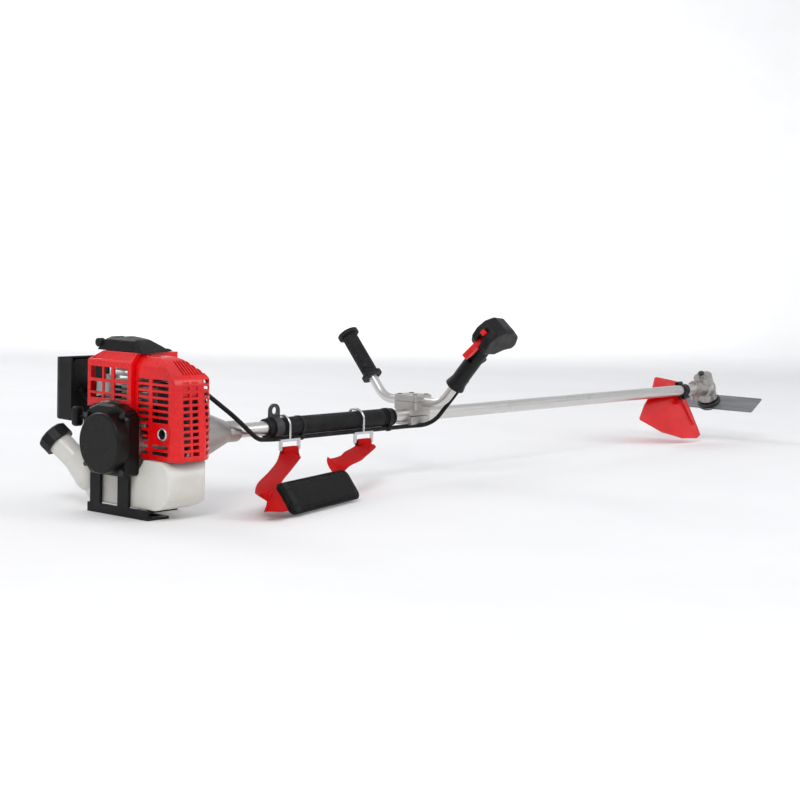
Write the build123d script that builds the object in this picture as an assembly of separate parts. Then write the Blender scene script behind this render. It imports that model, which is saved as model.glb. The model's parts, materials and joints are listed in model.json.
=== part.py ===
from build123d import *
import os
from math import atan2, cos, degrees, radians, sin, sqrt

# Brush cutter with a two-stroke engine, in millimetres.
# X runs forward along the shaft, Y to the operator's left, Z up.
# The floor is Z = 0 and the origin is on it, under the tank stand.

# ---- driving dimensions ----
AXIS_Z = 118.0            # height of the crankshaft and drive shaft above the floor
TUBE_R = 12.5             # outer radius of the shaft tube
TUBE_WALL = 1.5
TUBE_START = 128.0        # rear end of the tube, inside the clutch housing
TUBE_END = 1712.0         # front end, inside the gearbox socket
DRIVE_R = 4.0             # drive shaft radius
RUN_GAP = 0.05            # radial clearance of a running shaft

STARTER_REAR = -120.0     # rear face of the starter drum
STARTER_R = 48.0
DRUM_FRONT = -98.0        # where the drum meets the starter housing
CASE_REAR = -72.0         # rear face of the crankcase
CASE_SPLIT = -20.0        # joint of the two crankcase halves, and the cylinder's axis
CASE_FRONT = 30.0         # front face of the crankcase
CASE_R = 40.0
WEB_R = 28.0              # crank webs
CRANK_THROW = 14.0        # half of the stroke
ROD_LENGTH = 56.0
BORE_R = 20.0
DECK_Z = AXIS_Z + 42      # cylinder base
FIN_COUNT = 9
FIN_PITCH = 8.0
FIN_BOTTOM = AXIS_Z + 54

FLYWHEEL_R = 42.0
CLUTCH_X = 66.0           # rear face of the clutch shoes
DRUM_R = 35.0
CONE_START = 60.0
CONE_END = 150.0
COLLAR_END = 178.0

HANDLE_X = 650.0          # station of the handlebar bracket
SLEEVE_START = 250.0
SLEEVE_END = 585.0
SLEEVE_R = 16.5
HANGER_X = 272.0
HOOK_STATIONS = (292.0, 486.0)
BAR_R = 9.0               # handlebar tube
BAR_Z = AXIS_Z + 27       # height of the handlebar's middle

GEAR_X = 1748.0           # where the drive shaft's axis meets the output shaft's axis
BLADE_TILT = 30.0         # degrees between the blade's plane and the shaft
BLADE_DROP = 42.0         # from the gear centre to the blade, along the output shaft
BLADE_R = 127.0
BLADE_CHORD = 58.0
PINION_TEETH = 12
GEAR_TEETH = 16

GUARD_X = 1640.0          # station of the guard's clamp
GUARD_ROLL = 58.0         # the guard is clamped turned about the tube by this many degrees


# ---- small helpers ----
def block(x0, x1, y0, y1, z0, z1):
    return Pos((x0 + x1) / 2, (y0 + y1) / 2, (z0 + z1) / 2) * Box(x1 - x0, y1 - y0, z1 - z0)


def rod_x(x0, x1, r, y=0.0, z=AXIS_Z):
    return Pos((x0 + x1) / 2, y, z) * Rot(0, 90, 0) * Cylinder(r, x1 - x0)


def rod_y(y0, y1, r, x, z):
    return Pos(x, (y0 + y1) / 2, z) * Rot(90, 0, 0) * Cylinder(r, y1 - y0)


def rod_z(z0, z1, r, x, y):
    return Pos(x, y, (z0 + z1) / 2) * Cylinder(r, z1 - z0)


def ring_x(x0, x1, r_out, r_in, y=0.0, z=AXIS_Z):
    return rod_x(x0, x1, r_out, y, z) - rod_x(x0 - 1, x1 + 1, r_in, y, z)


def cone_x(x0, x1, r0, r1, y=0.0, z=AXIS_Z):
    return Pos((x0 + x1) / 2, y, z) * Rot(0, 90, 0) * Cone(r0, r1, x1 - x0)


def soft_block(x0, x1, y0, y1, z0, z1, radius, along=None):
    """A block with rounded edges: all of them, or only those along one axis."""
    shape = block(x0, x1, y0, y1, z0, z1)
    edges = shape.edges() if along is None else shape.edges().filter_by(along)
    return fillet(edges, radius)


def outline_x(points, x0, x1):
    """A closed outline of (y, z) points, extruded from x0 to x1."""
    face = make_face(Polyline([Vector(x0, y, z) for y, z in points], close=True))
    return extrude(face, x1 - x0, dir=(1, 0, 0))


def outline_y(points, y0, y1):
    """A closed outline of (x, z) points, extruded from y0 to y1."""
    face = make_face(Polyline([Vector(x, y0, z) for x, z in points], close=True))
    return extrude(face, y1 - y0, dir=(0, 1, 0))


def outline_z(points, z0, z1):
    """A closed outline of (x, y) points, extruded from z0 to z1."""
    face = make_face(Polyline([Vector(x, y, z0) for x, y in points], close=True))
    return extrude(face, z1 - z0, dir=(0, 0, 1))


def rounded(points, radii):
    """A face inside a closed outline whose corners are rounded, one radius for each point."""
    return make_face(FilletPolyline(*points, radius=radii, close=True))


def pipe(points, radius, bends):
    """A round bar along straight runs joined by arcs, one bend radius for each corner."""
    path = FilletPolyline(*points, radius=bends)
    start = Plane(origin=path @ 0, z_dir=path % 0)
    return sweep(start * Circle(radius), path=path)


def between(start, end, radius):
    """A round bar from one point to another."""
    axis = Vector(*end) - Vector(*start)
    middle = (Vector(*start) + Vector(*end)) / 2
    return Plane(origin=middle, z_dir=axis) * Cylinder(radius, axis.length)


# ---- recoil starter ----
STARTER_OUTLINE = [(-41, 68), (-41, 156), (-32, 170), (-8, 178), (30, 178), (52, 170),
                   (66, 152), (66, 84), (48, 66), (-30, 65.5)]
STARTER_SCREWS = [(-32, 161.5), (52, 158), (-33, 74), (52, 80)]
REEL_R = 29.0
REEL_FRONT = -85.0
POST_R = 6.0
ROPE_EXIT = (REEL_FRONT - 6, 66.0, AXIS_Z + 34)


def starter_housing():
    drum = rod_x(STARTER_REAR, DRUM_FRONT, STARTER_R)
    drum = fillet(drum.edges().sort_by(Axis.X)[0], 4)
    skirt = outline_x(STARTER_OUTLINE, DRUM_FRONT, CASE_REAR - 0.5)
    skirt = fillet(skirt.edges().filter_by(Axis.X), 7)
    skirt = chamfer(skirt.faces().sort_by(Axis.X)[0].edges(), 4)
    shell = drum + skirt
    shell -= rod_x(STARTER_REAR + 3, DRUM_FRONT + 3, STARTER_R - 3)
    inner = [(y * 0.94 + 0.5, AXIS_Z + 4 + (z - AXIS_Z - 4) * 0.94) for y, z in STARTER_OUTLINE]
    shell -= outline_x(inner, DRUM_FRONT + 3, CASE_REAR + 1)
    shell += rod_x(STARTER_REAR + 2, REEL_FRONT + 1, POST_R)
    shell -= rod_y(50, 75, 3.2, ROPE_EXIT[0], ROPE_EXIT[2])
    for y, z in STARTER_SCREWS:
        shell += rod_x(DRUM_FRONT + 2, CASE_REAR - 0.5, 6, y, z)
        shell -= rod_x(DRUM_FRONT - 5, CASE_REAR + 1, 2.4, y, z)
    return shell


def starter_reel():
    reel = ring_x(REEL_FRONT - 12, REEL_FRONT, 37, POST_R + RUN_GAP)
    reel -= ring_x(REEL_FRONT - 8.5, REEL_FRONT - 3.5, 50, REEL_R)
    wound = ring_x(REEL_FRONT - 8.3, REEL_FRONT - 3.7, 35, REEL_R + 0.1)
    return Compound(children=[reel, wound])


def starter_handle():
    x, y, z = ROPE_EXIT
    grip = soft_block(x - 9, x + 9, y + 12, y + 27, z - 16, z + 16, 6)
    rope = rod_y(y - 7, y + 14, 1.75, x, z)
    return grip + rope


# ---- crankcase, crank, piston and cylinder ----
def crankcase_half(x0, x1, bearing_x0, bearing_x1, open_x0, open_x1):
    case = rod_x(x0, x1, CASE_R)
    case += block(x0 + 6, x1 - 6, -34, 34, AXIS_Z, DECK_Z - 0.1) & block(-52, 12, -34, 34, 0, 300)
    case += block(x0 + 4, x1 - 4, -30, 30, AXIS_Z - 44, AXIS_Z)
    case -= rod_x(open_x0, open_x1, WEB_R + 3)
    case -= rod_x(bearing_x0, bearing_x1, 16)
    case -= rod_x(x0 - 1, x1 + 1, 11)
    case -= rod_z(AXIS_Z, DECK_Z + 1, 24, CASE_SPLIT, 0)
    return case


def crankcase_rear():
    return crankcase_half(CASE_REAR, CASE_SPLIT, -56, -45, -45, CASE_SPLIT + 1)


def crankcase_front():
    case = crankcase_half(CASE_SPLIT, CASE_FRONT, 5, 16, CASE_SPLIT - 1, 5)
    plate = ring_x(24, CASE_FRONT, 53, 38)
    return case + plate


def ball_bearing(x0, x1, r_out, r_in):
    race = ring_x(x0, x1, r_out, r_out - 2.4) + ring_x(x0, x1, r_in + 2.4, r_in)
    return race + ring_x(x0 + 1.5, x1 - 1.5, r_out - 2.2, r_in + 2.2)


def ball_bearings():
    crank = [ball_bearing(-55.9, -45.1, 15.95, 7.55), ball_bearing(5.1, 15.9, 15.95, 7.55)]
    clutch = [ball_bearing(95, 105, 13.95, 6.05)]
    pinion = [ball_bearing(1715, 1722, 9.45, 4.05)]
    output = [turned_bearing(-27.9, -21.9, 17.4), turned_bearing(10.1, 19.9, 11.95)]
    return Compound(children=crank + clutch + pinion + output)


def turned_bearing(low, high, r_out):
    """A bearing on the output shaft, between two distances along it from the gear centre."""
    races = Pos(0, 0, (low + high) / 2) * (Cylinder(r_out, high - low) - Cylinder(r_out - 2.6, 99))
    races += Pos(0, 0, (low + high) / 2) * (Cylinder(7.6, high - low) - Cylinder(5.05, 99))
    middle = Cylinder(r_out - 2.4, high - low - 2) - Cylinder(7.5, 99)
    return output_plane() * (races + Pos(0, 0, (low + high) / 2) * middle)


def crankshaft():
    shaft = rod_x(-40, -28, WEB_R) + rod_x(-12, 0, WEB_R)
    shaft += rod_x(-64, -40, 7.5) + rod_x(0, 20, 7.5)
    shaft += rod_x(-82, -64, 5) + rod_x(20, 56, 6)
    shaft += rod_x(-28, -12, 7, 0, AXIS_Z + CRANK_THROW)
    for x0, x1 in ((-41, -27), (-13, 1)):
        for side in (-1, 1):
            shaft -= block(x0, x1, side * 20 - 9, side * 20 + 9, AXIS_Z + 4, AXIS_Z + 30)
    shaft += rod_x(-82, -76, 14)
    return shaft


def connecting_rod():
    """The big end is cut back to an arch that clears the crank pin all the way round."""
    low, high = AXIS_Z + CRANK_THROW, AXIS_Z + CRANK_THROW + ROD_LENGTH
    rod = rod_x(-24, -16, 11, 0, low) + rod_x(-24, -16, 8, 0, high)
    rod += block(-22.5, -17.5, -4.5, 4.5, low + 6, high - 4)
    rod -= rod_x(-30, -10, CRANK_THROW + 7.4)
    rod -= rod_x(-30, -10, 5 + RUN_GAP, 0, high)
    return rod


def piston():
    pin_z = AXIS_Z + CRANK_THROW + ROD_LENGTH
    low, high = pin_z - 14, pin_z + 14
    body = rod_z(low, high, BORE_R, CASE_SPLIT, 0) - rod_z(low - 1, high - 5, 16.5, CASE_SPLIT, 0)
    bosses = rod_x(-37, -25, 8, 0, pin_z) + rod_x(-15, -3, 8, 0, pin_z)
    body += bosses & rod_z(low, high, 18, CASE_SPLIT, 0)
    body -= rod_x(-60, 20, 5.02, 0, pin_z)
    grooves = [rod_z(z, z + 1.5, 21, CASE_SPLIT, 0) - rod_z(z - 1, z + 3, 18.3, CASE_SPLIT, 0)
               for z in (high - 4.5, high - 8.5)]
    rings = [rod_z(z + 0.1, z + 1.4, BORE_R + 0.02, CASE_SPLIT, 0)
             - rod_z(z - 1, z + 3, 18.4, CASE_SPLIT, 0) for z in (high - 4.5, high - 8.5)]
    for groove in grooves:
        body -= groove
    pin = rod_x(-36, -4, 5, 0, pin_z)
    return Compound(children=[body, pin] + rings)


def cylinder():
    head_z = AXIS_Z + 88
    body = rod_z(DECK_Z, head_z + 12, 26, CASE_SPLIT, 0)
    body += block(-52, 12, -32, 32, DECK_Z, DECK_Z + 7)
    for index in range(FIN_COUNT):
        z = FIN_BOTTOM + FIN_PITCH * index
        fin = block(-58, 18, -41, 41, z, z + 2)
        body += fillet(fin.edges().filter_by(Axis.Z), 10)
    body += block(-38, -2, -44, -20, AXIS_Z + 62, AXIS_Z + 92)
    body += block(-36, -4, 20, 44, AXIS_Z + 58, AXIS_Z + 86)
    body += rod_z(head_z, FIN_BOTTOM + FIN_PITCH * (FIN_COUNT - 1) + 2, 13, CASE_SPLIT, 0)
    body -= rod_z(DECK_Z - 1, head_z, BORE_R + RUN_GAP, CASE_SPLIT, 0)
    body -= rod_z(head_z - 1, AXIS_Z + 140, 7, CASE_SPLIT, 0)
    body -= rod_z(AXIS_Z + 108, AXIS_Z + 140, 11, CASE_SPLIT, 0)
    body -= rod_y(-50, -10, 10, CASE_SPLIT, AXIS_Z + 77) & block(-60, 60, -50, -10, 0, 400)
    body -= rod_y(10, 50, 9, CASE_SPLIT, AXIS_Z + 72)
    return body


def spark_plug():
    plug = rod_z(AXIS_Z + 89, AXIS_Z + 108, 6.95, CASE_SPLIT, 0)
    plug += Pos(CASE_SPLIT, 0, AXIS_Z + 113) * extrude(RegularPolygon(10.4, 6), 5, both=True)
    plug += rod_z(AXIS_Z + 118, AXIS_Z + 134, 5, CASE_SPLIT, 0)
    plug += rod_z(AXIS_Z + 134, AXIS_Z + 140, 2.5, CASE_SPLIT, 0)
    return plug


def plug_boot():
    boot = rod_z(AXIS_Z + 122, AXIS_Z + 148, 9, CASE_SPLIT, 0)
    boot = fillet(boot.edges().sort_by(Axis.Z)[-1], 3)
    boot += rod_x(CASE_SPLIT, 2, 5, 0, AXIS_Z + 141)
    boot -= rod_z(AXIS_Z + 120, AXIS_Z + 134, 5.05, CASE_SPLIT, 0)
    boot -= rod_z(AXIS_Z + 133, AXIS_Z + 140.1, 2.6, CASE_SPLIT, 0)
    lead = pipe([(2, 0, AXIS_Z + 141), (30, 0, AXIS_Z + 141), (44, 0, AXIS_Z + 96),
                 (44, 0, AXIS_Z + 67)], 3, [12, 30])
    return boot + lead


# ---- flywheel, ignition and clutch ----
def flywheel():
    wheel = rod_x(44, 52, FLYWHEEL_R) + rod_x(36, 60, 13)
    for index in range(16):
        blade = block(36, 44, -1.2, 1.2, AXIS_Z + 14, AXIS_Z + FLYWHEEL_R - 1)
        wheel += Pos(0, 0, AXIS_Z) * Rot(index * 22.5, 0, 0) * Pos(0, 0, -AXIS_Z) * blade
    wheel -= rod_x(30, 70, 6.02)
    return wheel


def ignition_coil():
    coil = soft_block(38, 52, -20, 20, AXIS_Z + 47, AXIS_Z + 64, 3)
    legs = block(42, 48, -24, -14, AXIS_Z + 43, AXIS_Z + 50) + block(42, 48, 14, 24, AXIS_Z + 43, AXIS_Z + 50)
    return coil + legs + rod_z(AXIS_Z + 64, AXIS_Z + 66.9, 4, 44, 0)


def clutch_shoes():
    solid = ring_x(CLUTCH_X, CLUTCH_X + 12, DRUM_R - 3.5, 14)
    gap = block(0, 200, -3, 3, 0, 300)
    shoes = (solid - gap).solids()
    spring = ring_x(CLUTCH_X + 3, CLUTCH_X + 6, DRUM_R - 2.0, DRUM_R - 3.6)
    hub = rod_x(60.1, CLUTCH_X + 12, 13.5)
    return Compound(children=list(shoes) + [spring, hub])


def clutch_drum():
    drum = ring_x(CLUTCH_X - 1, CLUTCH_X + 18, DRUM_R, DRUM_R - 1.5)
    drum += ring_x(CLUTCH_X + 15, CLUTCH_X + 18, DRUM_R, DRIVE_R + 0.02)
    drum += ring_x(CLUTCH_X + 18, 112, 6, DRIVE_R + 0.02)
    return drum


def clutch_housing():
    outer = cone_x(CONE_START, CONE_END, 52, 20) + rod_x(CASE_FRONT, CONE_START, 54)
    outer += rod_x(CONE_END, COLLAR_END, 18)
    outer += block(CONE_END + 4, COLLAR_END - 2, 12, 30, AXIS_Z - 7, AXIS_Z + 7)
    inner = rod_x(CASE_FRONT - 1, CONE_START, 48.5)
    inner += rod_x(CONE_START - 1, 92, 38)
    housing = outer - inner
    housing -= rod_x(90, 106, 14)
    housing -= rod_x(100, 200, TUBE_R)
    housing -= block(CONE_END + 2, COLLAR_END + 1, 10, 40, AXIS_Z - 1.2, AXIS_Z + 1.2)
    housing -= rod_z(AXIS_Z - 20, AXIS_Z + 20, 2.6, 164, 23)
    housing -= block(31, 58, -26, 26, AXIS_Z + 40, AXIS_Z + 60)
    for angle in range(0, 360, 30):
        slot = block(36, 54, -4, 4, AXIS_Z + 44, AXIS_Z + 60)
        if 120 <= angle <= 240:
            housing -= Pos(0, 0, AXIS_Z) * Rot(angle, 0, 0) * Pos(0, 0, -AXIS_Z) * slot
    return housing


# ---- muffler and covers ----
EXHAUST = (-87.0, 136.0)      # y and z of the outlet
MUFFLER_REAR = -48.0
COVER_REAR = -64.0            # rear face of the red muffler cover
COVER_WALL = 2.5


def muffler():
    can = soft_block(MUFFLER_REAR, 10, -104, -53, 124, 214, 10)
    can -= soft_block(MUFFLER_REAR + 1.5, 8.5, -102.5, -54.5, 125.5, 212.5, 8.5)
    neck = block(-38, -2, -54, -44, AXIS_Z + 62, AXIS_Z + 92)
    neck -= rod_y(-60, -40, 10, CASE_SPLIT, AXIS_Z + 77)
    y, z = EXHAUST
    can += rod_x(COVER_REAR - 1, MUFFLER_REAR + 6, 9, y, z)
    can -= rod_x(COVER_REAR - 5, MUFFLER_REAR + 30, 7, y, z)
    can -= rod_y(-60, -50, 10, CASE_SPLIT, AXIS_Z + 77)
    return can + neck


def cover_solid(inset):
    """Where a plan, a rear view and a side view of the muffler cover meet, drawn in by inset."""
    rear, front = COVER_REAR + inset, 30 - inset
    right, top = -118 + inset, 256 - inset
    seam = -18.0 if inset else -20.5
    side, back = seam + 6, rear - 6
    plan = rounded([(front, seam, 94 - inset), (rear, seam, 94 - inset), (rear, right + 3, 94 - inset),
                    (0, right, 94 - inset), (front, right + 26, 94 - inset)], [0.5, 0.5, 14, 45, 14])
    behind = rounded([(back, side, 80), (back, side, top), (back, -70, top - 1), (back, right + 9, 222 - inset),
                      (back, right + 1, 80)], [0.5, 0.5, 45, 28, 0.5])
    beside = rounded([(rear, side, 80), (rear, side, 238 - inset), (rear + 13, side, top), (-18, side, top - 1),
                      (12 - inset / 2, side, 228 - inset), (front, side, 150), (front, side, 80)],
                     [0.5, 8, 8, 38, 40, 30, 0.5])
    solid = extrude(plan, 180, dir=(0, 0, 1)) & extrude(behind, 140, dir=(1, 0, 0))
    return solid & extrude(beside, 120, dir=(0, -1, 0))


SLOT_HEIGHT = 6.0
SLOT_PITCH = 10.2


def muffler_cover():
    cover = cover_solid(0.0) - cover_solid(COVER_WALL)
    cover -= rod_x(-80, 40, CASE_R + 2) + rod_x(20, 40, 55)
    y, z = EXHAUST
    corner = Pos(15, -104, 0) * Rot(0, 0, 41)
    for row in range(12):
        low = 102 + row * SLOT_PITCH
        high = low + SLOT_HEIGHT
        cover -= block(COVER_REAR - 2, COVER_REAR + 4, -52, -27, low, high)
        if abs((low + high) / 2 - z) > 16:
            cover -= block(COVER_REAR - 2, COVER_REAR + 4, -97, -60, low, high)
        cover -= block(-46, -32, -125, -108, low, high) + block(-27, -14, -125, -108, low, high)
        cover -= corner * (block(-16, -3, -9, 9, low, high) + block(2, 13, -9, 9, low, high))
    cover -= block(-59, 19, -42, -18, 160, FIN_BOTTOM + FIN_PITCH * FIN_COUNT)
    cover += ring_x(COVER_REAR - 1.5, COVER_REAR + 2, 14.5, 10, y, z)
    cover -= rod_x(COVER_REAR - 3, COVER_REAR + 6, 9.6, y, z)
    for index in range(8):
        x = -38 + index * 6.2
        cover -= block(x, x + 3.2, -102, -76, 190, 300)
    cover -= block(-52, -47, -62, -32, 225, 300)
    return cover


def cylinder_cover():
    """Red shroud round the cylinder, open at the front, with a window grid at the rear."""
    rear, front, left, right = -72.0, 26.0, 86.0, -20.0
    profile = [(right + 0.5, 160), (right + 0.5, 258), (60, 258), (84, 244), (84, 168), (40, 180), (10, 182)]
    outer = outline_x(profile, rear, front)
    inner_profile = [(right + 3, 150), (right + 3, 255.5), (59, 255.5), (81.5, 243), (81.5, 150)]
    outer -= outline_x(inner_profile, rear + 2.5, front + 1)
    slope = Plane(origin=(rear + 12, 0, 258), z_dir=(-1, 0, 0.75))
    cut = split(outer, bisect_by=slope, keep=Keep.BOTTOM)
    slope_panel = outline_y([(rear + 12, 258), (rear + 15, 258), (rear + 3, 240), (rear, 240)], right + 0.5, 72)
    cover = cut + (slope_panel & outline_x(profile, rear, front))
    columns = ((49, 77), (28, 45), (-11, 20))
    for y0, y1 in columns:
        for z0, z1 in ((214, 233), (193, 209), (183, 189)):
            cover -= block(rear - 2, rear + 4, y0, y1, z0, z1)
    cover -= block(-58, 30, 70, 90, 120, 236)
    cover -= block(-46, -7, -14, 42, 250, 262) + block(-8, 30, -6, 6, 250, 262)
    cover -= block(-58, 20, right - 2, right + 4, 150, 239)
    cover -= rod_x(20, 40, 55)
    return cover


def top_solid(inset):
    """Two humps seen from behind, met by a side view that falls away to the front."""
    low = 258.5 - inset
    behind = rounded([(-60, -30 + inset, low), (-60, 77 - inset, low), (-60, 70 - inset, 271 - inset),
                      (-60, 52, 281.5 - inset), (-60, 38, 277.5 - inset), (-60, 20, 282.5 - inset),
                      (-60, -8, 278 - inset)], [0.5, 0.5, 9, 8, 8, 9, 16])
    beside = rounded([(-58 + inset, -40, low - 1), (-56 + inset, -40, 275 - inset), (-46, -40, 283 - inset),
                      (-30, -40, 282 - inset), (-4 - inset, -40, 265 - inset), (-2 - inset, -40, low - 1)],
                     [0.5, 6, 8, 20, 5, 0.5])
    return extrude(behind, 90, dir=(1, 0, 0)) & extrude(beside, 170, dir=(0, 1, 0))


def top_cover():
    """Black cover over the spark plug, with two humps and a fixed knob at its left end."""
    cover = top_solid(0.0) - top_solid(2.5)
    cover -= block(-56, -7, -27, 74, 250, 260)
    cover -= block(-9, 2, -6, 6, 250, 264.5)
    return cover + rod_x(-60, -50, 7, 74, 270)


# ---- intake, carburettor and air filter ----
CARB_Z = AXIS_Z + 72


def intake_manifold():
    body = block(-38, -2, 44.1, 50, CARB_Z - 16, CARB_Z + 16) + rod_y(50, 66, 14, CASE_SPLIT, CARB_Z)
    return body - rod_y(40, 70, 8, CASE_SPLIT, CARB_Z)


def carburettor():
    body = soft_block(-40, 0, 66.2, 102, CARB_Z - 20, CARB_Z + 18, 3)
    body += rod_z(CARB_Z + 18, CARB_Z + 26, 12, CASE_SPLIT, 84)
    body += rod_z(CARB_Z - 30, CARB_Z - 20, 13, CASE_SPLIT, 84)
    body -= rod_y(60, 110, 8, CASE_SPLIT, CARB_Z)
    body -= rod_z(CARB_Z - 31, CARB_Z - 26, 9.5, CASE_SPLIT, 84)
    body += rod_x(-52, -40, 3, 76, CARB_Z - 8) + rod_x(-50, -40, 3, 92, CARB_Z - 14)
    body -= rod_z(CARB_Z + 20, CARB_Z + 30, 3.1, CASE_SPLIT, 84)
    return body


def throttle_lever():
    lever = rod_z(CARB_Z + 20.5, CARB_Z + 34, 3.0, CASE_SPLIT, 84)
    lever += block(CASE_SPLIT - 4, CASE_SPLIT + 22, 81, 87, CARB_Z + 28, CARB_Z + 31)
    return lever + rod_z(CARB_Z + 26, CARB_Z + 33, 3.5, CASE_SPLIT + 22, 84)


def primer_bulb():
    bulb = rod_z(CARB_Z - 36, CARB_Z - 29, 9, CASE_SPLIT, 84)
    return fillet(bulb.edges().sort_by(Axis.Z)[0], 5)


def choke_lever():
    lever = rod_y(128, 139, 3, -46, CARB_Z - 4)
    lever += Pos(-46, 131, CARB_Z - 4) * Rot(0, -35, 0) * block(-4, 4, -2, 2, -44, 4)
    return lever


FILTER_X0, FILTER_X1 = -60.0, 22.0
FILTER_Y = 139.0          # inner face of the filter's base plate


def filter_base():
    plate = soft_block(FILTER_X0 + 4, FILTER_X1 - 4, FILTER_Y, FILTER_Y + 6, 152, 238, 8, Axis.Y)
    plate += rod_y(102.2, FILTER_Y, 13, CASE_SPLIT, CARB_Z)
    plate -= rod_y(90, FILTER_Y + 10, 8, CASE_SPLIT, CARB_Z)
    plate += rod_y(FILTER_Y + 6, FILTER_Y + 32, 3, CASE_SPLIT, CARB_Z + 30)
    return plate


def filter_foam():
    foam = soft_block(FILTER_X0 + 10, FILTER_X1 - 10, FILTER_Y + 6.3, FILTER_Y + 20, 160, 230, 8, Axis.Y)
    return foam - rod_y(120, 180, 3.4, CASE_SPLIT, CARB_Z + 30)


def filter_solid(inset):
    """A rounded block, deeper at its lower edge, drawn in by inset."""
    rear, front, out = FILTER_X0 + inset, FILTER_X1 - inset, FILTER_Y + 50 - inset
    start = FILTER_Y - 10 if inset else FILTER_Y
    back, side, low = rear - 5, start - 5, 138 + 2 * inset
    ends = rounded([(back, side, low), (back, side, 244 - inset), (back, out - 8, 240 - inset),
                    (back, out, 228), (back, out, 158), (back, out - 12, low + 1)],
                   [0.5, 0.5, 6, 14, 22, 8])
    plan = rounded([(rear, start, 130), (front, start, 130), (front, out, 130), (rear, out, 130)],
                   [0.5, 0.5, 16 - inset, 22 - inset])
    return extrude(ends, front - rear + 10, dir=(1, 0, 0)) & extrude(plan, 130, dir=(0, 0, 1))


def filter_cover():
    shell = filter_solid(0.0) - filter_solid(2.5)
    return shell - rod_y(FILTER_Y + 26, FILTER_Y + 60, 4.2, CASE_SPLIT, CARB_Z + 30)


def filter_knob():
    knob = rod_y(FILTER_Y + 50.3, FILTER_Y + 58, 10, CASE_SPLIT, CARB_Z + 30)
    knob += rod_y(FILTER_Y + 33, FILTER_Y + 51, 3.9, CASE_SPLIT, CARB_Z + 30)
    for index in range(8):
        notch = block(9.4, 13, FILTER_Y + 45, FILTER_Y + 65, -1, 1)
        knob -= Pos(CASE_SPLIT, 0, CARB_Z + 30) * Rot(0, index * 45, 0) * notch
    return knob


# ---- fuel tank and stand ----
NECK_ROOT = (-58.0, 92.0, 56.0)
NECK_AXIS = (-0.27, 0.72, 0.64)


def neck_point(distance):
    length = sqrt(sum(c * c for c in NECK_AXIS))
    return tuple(p + distance * c / length for p, c in zip(NECK_ROOT, NECK_AXIS))


def tank_body(wall):
    """The blown tank: a rounded low body with a saddle under the starter and a slanted neck."""
    rear, front, left, right = -72 + wall, 26 - wall, 92 - wall, -110 + wall
    low, high = 16 + wall, 93 - wall
    behind = rounded([(rear - 5, right, low), (rear - 5, left, low), (rear - 5, left, high),
                      (rear - 5, right, high)], [34 - wall, 30 - wall, 20 - wall, 26 - wall])
    plan = rounded([(rear, right - 5, low - 5), (front, right - 5, low - 5), (front, left + 5, low - 5),
                    (rear, left + 5, low - 5)], [12 - wall, 46 - wall, 22 - wall, 12 - wall])
    beside = rounded([(rear - 5, left + 9, low), (front, left + 9, low), (front, left + 9, high),
                      (rear - 5, left + 9, high)], [0.5, 46 - wall, 20 - wall, 0.5])
    body = extrude(behind, front - rear + 10, dir=(1, 0, 0)) & extrude(plan, high - low + 10, dir=(0, 0, 1))
    body = body & extrude(beside, left - right + 18, dir=(0, -1, 0))
    body -= rod_x(-100, 60, 57 + wall)
    root = neck_point(-2)
    neck = Plane(origin=root, z_dir=NECK_AXIS) * Pos(0, 0, 19) * Cone(28 - wall, 20 - wall, 38)
    neck += Pos(*root) * Sphere(28 - wall) + between(neck_point(30), neck_point(76), 20 - wall)
    return body + neck


def fuel_tank():
    tank = tank_body(0) - tank_body(2.5)
    tank -= between(neck_point(60), neck_point(90), 17.5)
    return tank


def fuel_cap():
    start, end = neck_point(72.4), neck_point(94)
    axis = Vector(*end) - Vector(*start)
    plane = Plane(origin=Vector(*start), z_dir=axis)
    cap = plane * Pos(0, 0, 11) * extrude(RegularPolygon(26.5, 12), 11, both=True)
    cap = chamfer(cap.faces().sort_by(Axis((0, 0, 0), axis))[-1].edges(), 2.5)
    cap -= plane * Pos(0, 0, 0) * Cylinder(20.3, 7.4)
    plug = plane * Pos(0, 0, -2) * Cylinder(17.2, 24)
    return cap + plug


def fuel_lines():
    return pipe([(-46, 76, 93.1), (-46, 76, 130), (-62, 76, 150), (-62, 76, CARB_Z - 8),
                 (-52.2, 76, CARB_Z - 8)], 2, [14, 10, 6])


STAND_POSTS = ((42, 66), (-25, 0))


def tank_stand():
    stand = block(-80, -34, -72, 74, 0, 4) + block(-40, 38, -14, 14, 0, 4)
    stand -= block(-66, -44, 8, 62, -1, 5) + block(-66, -44, -60, -8, -1, 5)
    stand = fillet(stand.edges().filter_by(Axis.Z), 3)
    stand += block(-80, -75, -70, 72, 3, 15) + block(-6, 6, -14, 14, 3, 16)
    for y0, y1 in STAND_POSTS:
        stand += block(-80, -75, y0, y1, 3, 64)
    return stand + block(28, 38, -14, 14, 3, 15)


# ---- shaft tube, drive shaft and sleeve ----
def shaft_tube():
    return ring_x(TUBE_START, TUBE_END, TUBE_R, TUBE_R - TUBE_WALL)


def shaft_bushings():
    length, spacing = 26.0, 250.0
    count = 6
    return Compound(children=[
        ring_x(200 + index * spacing, 200 + index * spacing + length, TUBE_R - TUBE_WALL, DRIVE_R + RUN_GAP)
        for index in range(count)])


def grip_sleeve():
    sleeve = ring_x(SLEEVE_START, SLEEVE_END, SLEEVE_R, TUBE_R)
    for index in range(6):
        x = SLEEVE_END - 6 - index * 5
        sleeve -= ring_x(x, x + 2, SLEEVE_R + 1, SLEEVE_R - 1.2)
    return sleeve


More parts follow.
